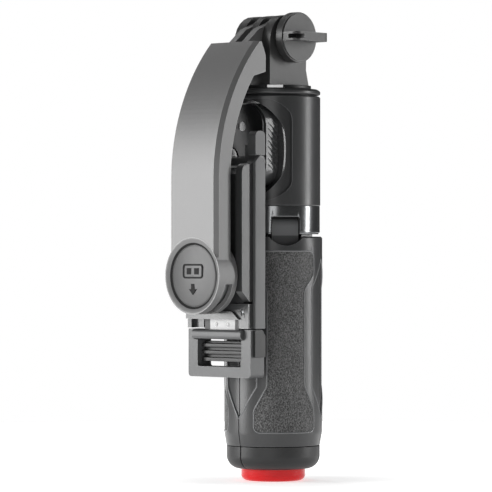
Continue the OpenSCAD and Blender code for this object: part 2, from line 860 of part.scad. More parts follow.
module knuckle_bar() {
    z1 = jaw_top - 0.2;
    z0 = z1 - knuckle_h;
    color([0.3, 0.3, 0.3]) difference() {
        slab_x(-knuckle_hw, knuckle_hw) polygon(rounded(
            [[-33, z0], [-23.6, z0], [-23.6, z1], [-33, z1]], [1.4, 0.4, 1.3, 1.4]));
        box(-tongue_hw, tongue_hw, -tongue_front, -tongue_rear, rivet_low - 2, z1 + 1);
        rod_x(jaw_pin_r + run_gap, -20, 20, jaw_pivot_y, jaw_pivot_z);
        for (x = rivet_x) rod_y(rivet_r, -tongue_front - 1.5, -tongue_rear + 1.5, x, rivet_low);
    }
}

module tongue_rivets() {
    color("silver") for (x = rivet_x) {
        rod_y(rivet_r, -tongue_front - 1.5, -tongue_rear + 1.5, x, rivet_low);
        rod_y(rivet_r, -tongue_front - 0.25, -tongue_rear, x, rivet_high);
    }
}

module jaw_pin() {
    color("silver") rod_x(jaw_pin_r, -clamp_hw, clamp_hw, jaw_pivot_y, jaw_pivot_z);
}

module lower_jaw() {
    z0 = jaw_top - jaw_h;
    z1 = jaw_top - knuckle_h - 0.5;
    arm_in = knuckle_hw + 0.4;
    color([0.35, 0.35, 0.35]) difference() {
        union() {
            slab_y(-jaw_front, -jaw_rear) polygon(rounded(box_outline(clamp_hw + 0.5, z0, z1), [1.5, 1.5, 0, 0]));
            both_sides() slab_x(arm_in, clamp_hw + 0.5) union() {
                polygon([[-jaw_front, z1 - 1], [-jaw_rear, z1 - 1], [-jaw_rear, jaw_pivot_z],
                    [jaw_pivot_y, jaw_pivot_z + 1.7], [-jaw_front, jaw_pivot_z + 1.7]]);
                translate([jaw_pivot_y, jaw_pivot_z]) circle(r = 1.7);
            }
        }
        slab_y(-jaw_front - 1, -jaw_rear + 1)
            polygon(rounded(box_outline(window_hw, z0 + 4.2, z1 + 1), [1, 1, 0, 0]));
        rod_x(jaw_pin_r, -20, 20, jaw_pivot_y, jaw_pivot_z);
    }
}

module jaw_grip() {
    color([0.1, 0.1, 0.1]) both_sides() slab_x(clamp_hw + 0.5, clamp_hw + rail_t)
        polygon([[-29.4, jaw_top - 11], [-23.6, jaw_top - 11], [-23.6, jaw_pivot_z - 0.6],
            [-25.2, jaw_top - 0.2], [-29.4, jaw_top - 0.2]]);
    // three ribs on a backing plate, with an open slot left below them
    color([0.1, 0.1, 0.1]) {
        for (i = [0 : rib_count - 1])
            slab_x(-window_hw, window_hw)
                translate([rib_y, jaw_top - 6.6 - rib_pitch * i]) square(rib_w, center = true);
        box(-window_hw, window_hw, rib_y + rib_w / 2 - eps, rib_y + rib_w / 2 + 1,
            jaw_top - 6.6 - rib_pitch * (rib_count - 1) - rib_w / 2, jaw_top - knuckle_h - 1);
    }
}

module upper_jaw() {
    z0 = clamp_top + 0.2;
    ear_in = clamp_in - 0.4;
    color([0.35, 0.35, 0.35]) difference() {
        union() {
            both_sides() slab_x(post_in, clamp_hw) polygon(rounded(
                [[-post_front, z0], [-post_rear, z0], [-post_rear, z0 + post_h],
                 [-post_front, z0 + post_h]], [0, 0, 2, 2]));
            both_sides() slab_x(ear_in - 3, ear_in) union() {
                translate([post_pivot_y, post_pivot_z]) circle(r = 2.2);
                polygon([[post_pivot_y - 2.2, post_pivot_z], [-post_rear, post_pivot_z],
                    [-post_rear, z0 + 4], [post_pivot_y - 2.2, z0 + 4]]);
            }
            rod_x(2.2, -ear_in, ear_in, post_pivot_y, post_pivot_z);
        }
        rod_x(jaw_pin_r + run_gap, -20, 20, post_pivot_y, post_pivot_z);
    }
}

module upper_jaw_pin() {
    color("silver") rod_x(jaw_pin_r, -clamp_hw, clamp_hw, post_pivot_y, post_pivot_z);
}

// ---- remote ----

function remote_outline(g) =
    rounded(box_outline(remote_hw - g, remote_z - remote_h / 2 + g, remote_z + remote_h / 2 - g), 9.5 - g, 12);

module remote_shell() {
    rib = 1.1;
    color([0.3, 0.3, 0.3]) difference() {
        slab_y(-remote_front, -remote_back) polygon(remote_outline(0));
        slab_y(-remote_front - 1, -remote_back - 1.2) polygon(remote_outline(1.4));
        both_sides() for (i = [0 : 8])
            translate([remote_hw, -remote_back - 3.2, remote_z - 9.5 + 2.4 * i]) rotate([55, 0, 0])
                cube([0.7, 0.9, 6], center = true);
        box(remote_hw - 0.6, remote_hw + 1, -remote_back - 2.2, -remote_back - 1, remote_z - 7, remote_z - 2.2);
    }
}

module remote_face() {
    front = -remote_front - face_t;
    color([0.1, 0.1, 0.1]) difference() {
        union() {
            slab_y(front, -remote_front) polygon(remote_outline(0.6));
            slab_y(-remote_front - eps, -remote_front + 0.8) polygon(remote_outline(1.5));
        }
        rod_y(2.1, front - 1, -remote_back, 1, button_z);
        slab_y(front - 1, -remote_back) translate([key_x, key_z]) key_outline(free_gap);
        rod_y(0.6, front - 1, front + 0.4, -3.4, button_z);
    }
}

module key_outline(g) {
    translate([0, 2]) circle(r = 4 + g);
    translate([0, -2]) circle(r = 4 + g);
    square([8 + 2 * g, 4], center = true);
}

module remote_board() {
    color("green") slab_y(-remote_front + 3.6, -remote_back - 1.2) polygon(remote_outline(1.8));
}

module power_button() {
    front = -remote_front - face_t;
    color([0.2, 0.2, 0.2]) {
        rod_y(2.1 - free_gap / 2, front - 0.1, -remote_front + 1.2, 1, button_z);
        rod_y(2.8, -remote_front + 1.1, -remote_front + 1.9, 1, button_z);
    }
}

module thumb_key() {
    front = -remote_front - face_t;
    color([0.3, 0.3, 0.3]) translate([key_x, 0, key_z]) {
        slab_y(front - 0.5, -remote_front + 1.9) key_outline(0);
        slab_y(-remote_front + 1.2, -remote_front + 1.9) key_outline(1);
    }
}

base_cap();
centre_column();
outer_tube();
leg_hub();
collar_ring();
leg_pins();
body_shell();
remote_bay();
top_ring();
pole_collar();
leg(1);  // leg_1
leg(2);  // leg_2
leg(3);  // leg_3
leg_grip(1);  // leg_grip_1
leg_grip(2);  // leg_grip_2
leg_grip(3);  // leg_grip_3
leg_foot(1);  // leg_foot_1
leg_foot(2);  // leg_foot_2
leg_foot(3);  // leg_foot_3
pole(1);  // pole_1
pole(2);  // pole_2
pole(3);  // pole_3
pole(4);  // pole_4
pole_plug(1);  // pole_plug_1
pole_plug(2);  // pole_plug_2
pole_plug(3);  // pole_plug_3
pole_plug(4);  // pole_plug_4
neck();
tilt_bolt();
tilt_nut();
tilt_knob();
arm_shell();
arm_cover();
cover_screws();
battery();
control_board();
motor_cap();
motor_stator();
motor_bearings();
motor_rotor();
clamp_body();
clamp_bracket();
clamp_back();
clamp_rails();
clamp_spring();
clamp_screws();
slide_tongue();
knuckle_bar();
tongue_rivets();
jaw_pin();
lower_jaw();
jaw_grip();
upper_jaw();
upper_jaw_pin();
remote_shell();
remote_face();
remote_board();
power_button();
thumb_key();
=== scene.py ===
"""Looks of a folded one-axis camera gimbal, built around its packed construction model."""

import math

import bmesh
import bpy
from mathutils import Matrix, Vector


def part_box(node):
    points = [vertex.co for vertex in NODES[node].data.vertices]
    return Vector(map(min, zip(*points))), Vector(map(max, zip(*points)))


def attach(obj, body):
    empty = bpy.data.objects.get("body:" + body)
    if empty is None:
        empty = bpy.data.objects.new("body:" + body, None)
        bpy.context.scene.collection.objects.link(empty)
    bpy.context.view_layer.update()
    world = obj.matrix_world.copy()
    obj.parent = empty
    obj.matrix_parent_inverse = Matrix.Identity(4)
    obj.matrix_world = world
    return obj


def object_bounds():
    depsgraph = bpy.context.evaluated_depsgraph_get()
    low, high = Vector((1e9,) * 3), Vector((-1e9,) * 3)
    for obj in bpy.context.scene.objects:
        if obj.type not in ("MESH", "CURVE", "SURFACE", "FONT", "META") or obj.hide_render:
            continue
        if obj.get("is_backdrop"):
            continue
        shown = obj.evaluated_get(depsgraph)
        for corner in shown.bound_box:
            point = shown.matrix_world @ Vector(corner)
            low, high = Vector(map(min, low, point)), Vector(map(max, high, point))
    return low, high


bl_info = {
    "name": "Camera gimbal looks",
    "version": (1, 0, 0),
    "blender": (4, 5, 0),
    "location": "View3D > Sidebar > Gimbal",
    "description": "Finishes, soft studio and fine pieces for a folded camera gimbal",
    "category": "Object",
}

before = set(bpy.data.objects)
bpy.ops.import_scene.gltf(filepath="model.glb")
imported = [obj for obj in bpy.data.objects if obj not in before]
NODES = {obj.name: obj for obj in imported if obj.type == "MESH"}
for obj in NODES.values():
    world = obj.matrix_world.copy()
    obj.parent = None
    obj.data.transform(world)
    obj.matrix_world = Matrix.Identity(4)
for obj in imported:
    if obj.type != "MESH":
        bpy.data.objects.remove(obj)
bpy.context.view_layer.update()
MM = 0.001


def centre(node):
    """Middle of a construction node's box."""
    low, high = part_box(node)
    return (low + high) / 2


HUB = centre("motor_cap")
HUB_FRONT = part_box("arm_shell")[0].y
CAP_R = (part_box("motor_cap")[1].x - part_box("motor_cap")[0].x) / 2
HUB_RIM = CAP_R + 0.9 * MM  # outer edge of the painted shade in the groove round the cap
LEG_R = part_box("leg_2")[1].y
LEG_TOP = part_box("collar_ring")[0].z - 0.6 * MM
KNUCKLE_GREY = 0.11
# grey of the painted shade on the tongue behind the jaw's ribs
TONGUE_SHADE_GREY = 0.05
UNSHADED_STRIP = (-6.5 * MM, 7.5 * MM, HUB.z - 13 * MM)  # left, right and top of the tongue's unshaded tin; outside it the tongue is painted shade
EDGE_GAIN = 5.0  # how fast the painted edge highlight rises as a surface turns
WELD_GAP = 0.002 * MM
SHARP_ANGLE = math.radians(32.0)
FLOOR_R = 0.45
GLOW_NEAR = 0.55  # the floor's own glow under the object, kept dim so it lights the object less; the dim patch is a painted shadow
GLOW_START = 0.03  # where it starts to rise to white
GLOW_RISE = 12.0  # per metre
WORLD_FILL = 0.09  # the world's light on the object
GLINT_TURN = -43  # degrees from the slot of the lock collar to +X
GLINT_HALF = 12
GLINT_STEPS = 12
LEFT_SHARP = ("clamp_spring", "motor_stator", "slide_tongue")  # too thin to round


# ---- shader maths ----


class Wire:
    """An output socket that takes part in Python arithmetic."""

    def __init__(self, sheet, socket):
        self.sheet = sheet
        self.socket = socket

    def _maths(self, operation, first, second):
        return self.sheet.node("ShaderNodeMath", {"operation": operation}, {0: first, 1: second})

    def __add__(self, other):
        return self._maths("ADD", self, other)

    def __radd__(self, other):
        return self._maths("ADD", other, self)

    def __sub__(self, other):
        return self._maths("SUBTRACT", self, other)

    def __rsub__(self, other):
        return self._maths("SUBTRACT", other, self)

    def __mul__(self, other):
        return self._maths("MULTIPLY", self, other)

    def __rmul__(self, other):
        return self._maths("MULTIPLY", other, self)

    def __gt__(self, other):
        return self._maths("GREATER_THAN", self, other)

    def __lt__(self, other):
        return self._maths("LESS_THAN", self, other)

    def clamp(self):
        return self.sheet.node("ShaderNodeClamp", {}, {"Value": self})


class Sheet:
    """A material under construction: every node of it comes from the one method below."""

    def __init__(self, name):
        self.material = bpy.data.materials.new(name)
        self.material.use_nodes = True
        self.tree = self.material.node_tree
        self.tree.nodes.clear()

    def node(self, kind, settings=None, inputs=None, out=0):
        """Add a node, set it up, feed its sockets and return one of its outputs."""
        made = self.tree.nodes.new(kind)
        for key, value in (settings or {}).items():
            setattr(made, key, value)
        for key, value in (inputs or {}).items():
            if isinstance(value, Wire):
                self.tree.links.new(value.socket, made.inputs[key])
            else:
                made.inputs[key].default_value = value
        return Wire(self, made.outputs[out])

    def place(self, stretch=(1.0, 1.0, 1.0)):
        """Object coordinates in metres, stretched along each axis."""
        coordinates = self.node("ShaderNodeTexCoord", out="Object")
        return self.node("ShaderNodeMapping", {}, {"Vector": coordinates, "Scale": stretch})

    def noise(self, size, detail=3.0, roughness=0.5, stretch=(1.0, 1.0, 1.0)):
        """Noise whose blotches are about `size` metres across."""
        return self.node(
            "ShaderNodeTexNoise",
            {},
            {
                "Vector": self.place(stretch),
                "Scale": 1.0 / size,
                "Detail": detail,
                "Roughness": roughness,
            },
        )

    def cells(self, size, out="Distance", feature="F1"):
        """Cell pattern with cells about `size` metres across."""
        return self.node(
            "ShaderNodeTexVoronoi",
            {"feature": feature},
            {"Vector": self.place(), "Scale": 1.0 / size},
            out,
        )

    def away(self, point, axis):
        """Distance from a line through `point` along the named axis."""
        flat = self.node(
            "ShaderNodeVectorMath",
            {"operation": "MULTIPLY"},
            {0: self.place(), 1: tuple(0.0 if name == axis else 1.0 for name in "XYZ")},
        )
        line = tuple(0.0 if name == axis else p for name, p in zip("XYZ", point))
        return self.node("ShaderNodeVectorMath", {"operation": "DISTANCE"}, {0: flat, 1: line}, 1)

    def along(self, axis):
        """One object coordinate."""
        return self.node("ShaderNodeSeparateXYZ", {}, {0: self.place()}, "XYZ".index(axis))

    def edges(self, radius):
        """Mask that rises to one where the surface turns a corner."""
        round_normal = self.node("ShaderNodeBevel", {"samples": 4}, {"Radius": radius})
        sharp_normal = self.node("ShaderNodeNewGeometry", out="Normal")
        same = self.node(
            "ShaderNodeVectorMath", {"operation": "DOT_PRODUCT"}, {0: round_normal, 1: sharp_normal}, 1
        )
        return ((1.0 - same) * EDGE_GAIN).clamp()

    def mix(self, factor, first, second):
        """Blend two colours."""
        return self.node(
            "ShaderNodeMix",
            {"data_type": "RGBA"},
            {0: factor, 6: first, 7: second},
            2,
        )

    def bump(self, height, distance):
        """Relief of a given depth in metres, for the shader's Normal."""
        return self.node(
            "ShaderNodeBump", {}, {"Height": height, "Distance": distance, "Strength": 1.0}
        )

    def finish(self, **sockets):
        """Close the material with one glossy shader; underscores in names stand for spaces."""
        named = {key.replace("_", " "): value for key, value in sockets.items()}
        shader = self.node("ShaderNodeBsdfPrincipled", {}, named)
        output = self.tree.nodes.new("ShaderNodeOutputMaterial")
        self.tree.links.new(shader.socket, output.inputs["Surface"])
        return self.material


def shade(grey, tint=0.0):
    """A neutral colour of a given brightness, a little cooler with a positive tint."""
    return (grey * (1 - tint), grey, grey * (1 + tint), 1.0)


def moulded_plastic(name, grey, roughness, grain=0.00022, relief=0.000012, tint=0.02, pale_above=None):
    """Moulded plastic: spark-eroded grain, faint flow marks and uneven gloss."""
    s = Sheet(name)
    fine = s.noise(grain, 4.0, 0.6)
    broad = s.noise(0.012, 2.0)
    tone = (broad - 0.5) * 0.5 + (fine - 0.5) * 0.35 + 0.5
    colour = s.mix(tone.clamp(), shade(grey * 0.86, tint), shade(grey * 1.14, tint))
    if pale_above is not None:
        # natural nylon knuckles above this height, inside the hinge collar
        colour = s.mix(s.along("Z") > pale_above, colour, shade(KNUCKLE_GREY, tint))
    # painted highlight: a paler colour wherever the surface turns an edge
    painted_edge_highlight = shade(min(1.0, grey * 2.2 + 0.08), tint)
    colour = s.mix(s.edges(0.0003) * 0.75, colour, painted_edge_highlight)
    rough = roughness + (broad - 0.5) * 0.10 + (fine - 0.5) * 0.08
    return s.finish(
        Base_Color=colour, Roughness=rough, Normal=s.bump(fine, relief), IOR=1.5
    )


def satin_paint(name, grey, roughness=0.46, cap_groove_shade=False, strip=None):
    """Satin paint over cast metal: fine flakes, slight orange peel, soft sheen."""
    s = Sheet(name)
    flakes = s.cells(0.00016, "Color")
    speck = s.node("ShaderNodeSeparateColor", {}, {"Color": flakes})
    peel = s.noise(0.0011, 2.0, 0.4)
    broad = s.noise(0.02, 2.0)
    tone = (speck - 0.5) * 0.30 + (broad - 0.5) * 0.35 + 0.5
    colour = s.mix(tone.clamp(), shade(grey * 0.90), shade(grey * 1.10))
    # painted highlight: paler paint wherever the surface turns an edge
    colour = s.mix(s.edges(0.00035) * 0.8, colour, shade(min(1.0, grey * 2.4 + 0.05)))
    if cap_groove_shade:
        # painted shade: near-black in the groove inside the hub's rim, around its cap
        reach = s.away(HUB, "Y")
        painted_groove_shade = (reach > CAP_R) * (HUB_RIM > reach) * (HUB_FRONT + 0.0016 > s.along("Y"))
        colour = s.mix(painted_groove_shade, colour, shade(0.012))
    if strip:
        # tin colour between two sides and below a height; elsewhere painted shade, dark, where the tongue
        # lies behind the jaw's ribs
        x0, x1, top = strip
        unshaded_tin = (s.along("X") > x0) * (x1 > s.along("X")) * (top > s.along("Z"))
        colour = s.mix(unshaded_tin, shade(TONGUE_SHADE_GREY), colour)
    rough = roughness + (peel - 0.5) * 0.07
    if cap_groove_shade:
        rough = rough + painted_groove_shade * 0.4
    return s.finish(
        Base_Color=colour, Roughness=rough, Metallic=0.3, Normal=s.bump(peel, 0.000010)
    )


def grip_rubber(name, grey=0.055):
    """Pebbled rubber: short slanting grains with paler crowns and matt valleys."""
    s = Sheet(name)
    slant = s.node(
        "ShaderNodeMapping", {}, {"Vector": s.place(), "Rotation": (0.5, 0.6, 0.4), "Scale": (1, 1, 0.7)}
    )
    grain = s.node(
        "ShaderNodeTexNoise", {}, {"Vector": slant, "Scale": 2300.0, "Detail": 3.0, "Roughness": 0.6}
    )
    cell = s.cells(0.0006)
    dust = s.noise(0.009, 3.0)
    crown = (1.0 - cell * 1.4).clamp()
    tone = (grain - 0.5) * 3.6 + crown * 0.25 + (dust - 0.5) * 0.3 + 0.33
    colour = s.mix(tone.clamp(), shade(grey * 0.12), shade(grey * 2.7))
    relief = crown * 0.5 + grain
    return s.finish(
        Base_Color=colour, Roughness=0.6 + (grain - 0.5) * 0.25, Normal=s.bump(relief, 0.00022)
    )


def gloss_plastic(name, colour, roughness=0.34):
    """Glossy plastic with a clear top layer and the faintest ripple."""
    s = Sheet(name)
    ripple = s.noise(0.006, 2.0)
    haze = s.noise(0.0007, 3.0)
    dark = tuple(c * 0.85 for c in colour[:3]) + (1.0,)
    return s.finish(
        Base_Color=s.mix(ripple, dark, colour),
        Roughness=roughness + (haze - 0.5) * 0.08,
        Specular_IOR_Level=0.12,
        Normal=s.bump(ripple, 0.00002),
        Coat_Weight=0.04,
        Coat_Roughness=0.15,
    )


def drawn_metal(name, grey, roughness, lines=(1.0, 1.0, 30.0), tint=0.02):
    """Bare metal with fine draw or turning lines along the two unstretched axes."""
    s = Sheet(name)
    line = s.noise(0.004, 4.0, 0.6, lines)
    smear = s.noise(0.01, 2.0)
    colour = s.mix(smear, shade(grey * 0.88, tint), shade(min(1.0, grey * 1.1), tint))
    return s.finish(
        Base_Color=colour,
        Metallic=1.0,
        Roughness=roughness + (line - 0.5) * 0.10,
        Normal=s.bump(line, 0.000008),
    )


def red_lens(name):
    """Glossy red cap with painted light: darker at the middle as painted shade, paler towards the rim as a
    painted highlight, and a faint painted glow.
    """
    s = Sheet(name)
    veil = s.noise(0.005, 2.0)
    spark = s.noise(0.0008, 2.0)
    middle = s.away((0.0, 0.0, 0.0), "Z")
    # painted highlight towards the rim; the darker middle is painted shade
    rim = ((middle - 0.007) * 150.0).clamp()
    deep = s.mix(veil, (0.16, 0.004, 0.006, 1.0), (0.24, 0.008, 0.010, 1.0))
    colour = s.mix(rim, deep, (0.62, 0.014, 0.016, 1.0))
    return s.finish(
        Base_Color=colour,
        Roughness=0.12 + (spark - 0.5) * 0.06,
        Normal=s.bump(veil, 0.00003),
        # painted glow: the cap gives off a little light of its own
        Emission_Color=colour,
        Emission_Strength=0.06,
        Specular_IOR_Level=0.15,
        Coat_Weight=0.15,
        Coat_Roughness=0.08,
    )


def circuit_board(name):
    """Green solder mask with brighter copper tracks under it."""
    s = Sheet(name)
    track = s.cells(0.0018, "Distance", "DISTANCE_TO_EDGE")
    on_track = track > 0.05
    colour = s.mix(on_track, (0.05, 0.33, 0.10, 1.0), (0.015, 0.12, 0.04, 1.0))
    return s.finish(Base_Color=colour, Roughness=0.35, Normal=s.bump(on_track, 0.00002))


def copper_coil(name):
    """Enamelled copper wire in turns of about half a millimetre."""
    s = Sheet(name)
    wound = s.node(
        "ShaderNodeTexWave",
        {"bands_direction": "Y"},
        {"Vector": s.place(), "Scale": 640.0, "Distortion": 1.0},
        "Fac",
    )
    colour = s.mix(wound, (0.24, 0.07, 0.02, 1.0), (0.80, 0.36, 0.14, 1.0))
    return s.finish(
        Base_Color=colour, Metallic=0.9, Roughness=0.3, Normal=s.bump(wound, 0.00005)
    )


def shrink_wrap(name):
    """Thin blue film pulled over a lithium cell."""
    s = Sheet(name)
    crease = s.noise(0.004, 4.0, 0.6, (1.0, 1.0, 0.3))
    colour = s.mix(crease, (0.02, 0.05, 0.22, 1.0), (0.05, 0.12, 0.42, 1.0))
    return s.finish(Base_Color=colour, Roughness=0.3, Normal=s.bump(crease, 0.00015))


# ---- mesh helpers ----


def cover(node, material):
    """Give a construction node its finish, through its object's material slots."""
    slots = NODES[node].material_slots
    if not slots:
        raise RuntimeError(f"{node} has no material slot")
    for slot in slots:
        slot.material = material


def smooth_shading():
    """Node group that shades a mesh smooth, so that a modifier does it and the mesh stays as loaded."""
    group = bpy.data.node_groups.new("smooth_shading", "GeometryNodeTree")
    for way in ("INPUT", "OUTPUT"):
        group.interface.new_socket("Geometry", in_out=way, socket_type="NodeSocketGeometry")
    entry = group.nodes.new("NodeGroupInput")
    smooth = group.nodes.new("GeometryNodeSetShadeSmooth")
    leave = group.nodes.new("NodeGroupOutput")
    group.links.new(entry.outputs[0], smooth.inputs["Geometry"])
    group.links.new(smooth.outputs[0], leave.inputs[0])
    return group


def soften(node, width, shading):
    """Round a node's sharp edges with modifiers alone; its mesh isn't changed."""
    obj = NODES[node]
    obj.modifiers.new("smooth", "NODES").node_group = shading
    weld = obj.modifiers.new("weld", "WELD")
    weld.merge_threshold = WELD_GAP
    bevel = obj.modifiers.new("edge_round", "BEVEL")
    bevel.width = width
    bevel.segments = 2
    bevel.limit_method = "ANGLE"
    bevel.angle_limit = SHARP_ANGLE
    bevel.use_clamp_overlap = True
    bevel.harden_normals = False
    normals = obj.modifiers.new("even_light", "WEIGHTED_NORMAL")
    normals.keep_sharp = False


def rounded(points, radii, steps=6):
    """Closed outline with each corner turned into an arc."""
    out = []
    for i, here in enumerate(points):
        back = (Vector(points[i - 1]) - Vector(here)).normalized()
        ahead = (Vector(points[(i + 1) % len(points)]) - Vector(here)).normalized()
        half = back.angle(ahead) / 2
        radius = radii[i]
        middle = Vector(here) + (back + ahead).normalized() * radius / math.sin(half)
        first = Vector(here) + back * radius / math.tan(half) - middle
        last = Vector(here) + ahead * radius / math.tan(half) - middle
        turn = math.atan2(first.x * last.y - first.y * last.x, first.dot(last))
        for k in range(steps + 1):
            out.append(middle + Matrix.Rotation(turn * k / steps, 2) @ first)
    return out


def on_cylinder(flat, radius, azimuth):
    """Lay points (across, up) on an upright cylinder, seen from the given azimuth."""
    turn = Matrix.Rotation(azimuth, 3, "Z")
    return [turn @ Vector((math.sqrt(radius**2 - y * y), y, z)) for y, z in flat]


def refine(points, step, closed):
    """Add points so that no stretch is longer than a step."""
    out = []
    ends = points + points[:1] if closed else points
    for first, last in zip(ends, ends[1:]):
        count = max(1, math.ceil((Vector(last) - Vector(first)).length / step))
        out += [Vector(first).lerp(Vector(last), k / count) for k in range(count)]
    return out if closed else out + [Vector(ends[-1])]


def bead(name, points, thickness, material, closed=True):
    """A thin round bead along a line of points, as a mesh."""
    curve = bpy.data.curves.new(name + "_line", "CURVE")
    curve.dimensions = "3D"
    curve.bevel_depth = thickness
    curve.bevel_resolution = 1
    curve.use_fill_caps = not closed
    spline = curve.splines.new("POLY")
    spline.points.add(len(points) - 1)
    for knot, point in zip(spline.points, points):
        knot.co = (*point, 1.0)
    spline.use_cyclic_u = closed
    line = bpy.data.objects.new(name + "_line", curve)
    bpy.context.scene.collection.objects.link(line)
    bpy.context.view_layer.update()
    mesh = bpy.data.meshes.new_from_object(line)
    bpy.data.objects.remove(line)
    mesh.materials.clear()
    mesh.materials.append(material)
    for polygon in mesh.polygons:
        polygon.use_smooth = True
    return add_piece(name, mesh)


def add_piece(name, mesh):
    """Put a new mesh in the scene under a piece's name."""
    obj = bpy.data.objects.new(name, mesh)
    bpy.context.scene.collection.objects.link(obj)
    return obj


def slab(name, outlines, y0, y1, material):
    """Flat shapes drawn in (x, z), with depth from y0 to y1."""
    shape = bmesh.new()
    for outline in outlines:
        front = [shape.verts.new((x, y0, z)) for x, z in outline]
        rear = [shape.verts.new((x, y1, z)) for x, z in outline]
        shape.faces.new(front)
        shape.faces.new(rear[::-1])
        for i in range(len(front)):
            k = (i + 1) % len(front)
            shape.faces.new((front[k], front[i], rear[i], rear[k]))
    bmesh.ops.recalc_face_normals(shape, faces=shape.faces)
    mesh = bpy.data.meshes.new(name)
    shape.to_mesh(mesh)
    shape.free()
    mesh.materials.append(material)
    return add_piece(name, mesh)


# ---- settings ----


class StageSettings(bpy.types.PropertyGroup):
    """Camera and studio."""

    azimuth: bpy.props.FloatProperty(
        name="Azimuth", description="Turn of the camera from the front", default=math.radians(44.5),
        unit="ROTATION",
    )
    distance: bpy.props.FloatProperty(
        name="Distance", description="From the camera to the grip's axis", default=1.3398, unit="LENGTH"
    )
    height: bpy.props.FloatProperty(
        name="Height", description="Height of the level camera", default=0.0950, unit="LENGTH"
    )
    aside: bpy.props.FloatProperty(
        name="Aside", description="How far the grip's axis stands right of the picture's middle",
        default=0.01104, unit="LENGTH",
    )
    lens: bpy.props.FloatProperty(
        name="Lens", description="Focal length on a 36 mm sensor", default=241.46
    )
    left_power: bpy.props.FloatProperty(
        name="Left box", description="Power of the soft box on the left", default=7.6, unit="POWER"
    )
    right_power: bpy.props.FloatProperty(
        name="Right strip", description="Power of the strip light on the right", default=3.6, unit="POWER"
    )
    front_power: bpy.props.FloatProperty(
        name="Front fill", description="Power of the soft fill beside the camera", default=3.0, unit="POWER"
    )
    back_power: bpy.props.FloatProperty(
        name="Back rim", description="Power of the light behind the object", default=2.0, unit="POWER"
    )
    top_power: bpy.props.FloatProperty(
        name="Top box", description="Power of the soft box above", default=1.0, unit="POWER"
    )
    floor: bpy.props.FloatVectorProperty(
        name="Floor", description="Colour of the pale floor", default=(0.9, 0.9, 0.9), subtype="COLOR"
    )


class FinishSettings(bpy.types.PropertyGroup):
    """Brightness of the main finishes."""

    arm: bpy.props.FloatProperty(
        name="Arm", description="Brightness of the arm's paint", default=0.155, min=0.0, max=1.0
    )
    neck: bpy.props.FloatProperty(
        name="Neck", description="Brightness of the neck and knob", default=0.043, min=0.0, max=1.0
    )
    grip: bpy.props.FloatProperty(
        name="Grip", description="Brightness of the grip's plastic", default=0.036, min=0.0, max=1.0
    )
    edge: bpy.props.FloatProperty(
        name="Edge", description="Rounding of moulded edges", default=0.00025, unit="LENGTH"
    )


# ---- operators ----


def area_light(name, place, target, size, size_y, power):
    """A soft box aimed at a point."""
    data = bpy.data.lights.new(name, "AREA")
    data.shape = "RECTANGLE"
    data.size = size
    data.size_y = size_y
    data.energy = power
    obj = bpy.data.objects.new(name, data)
    obj.location = place
    direction = Vector(target) - Vector(place)
    obj.rotation_mode = "QUATERNION"
    obj.rotation_quaternion = direction.to_track_quat("-Z", "Y")
    bpy.context.scene.collection.objects.link(obj)
    return obj


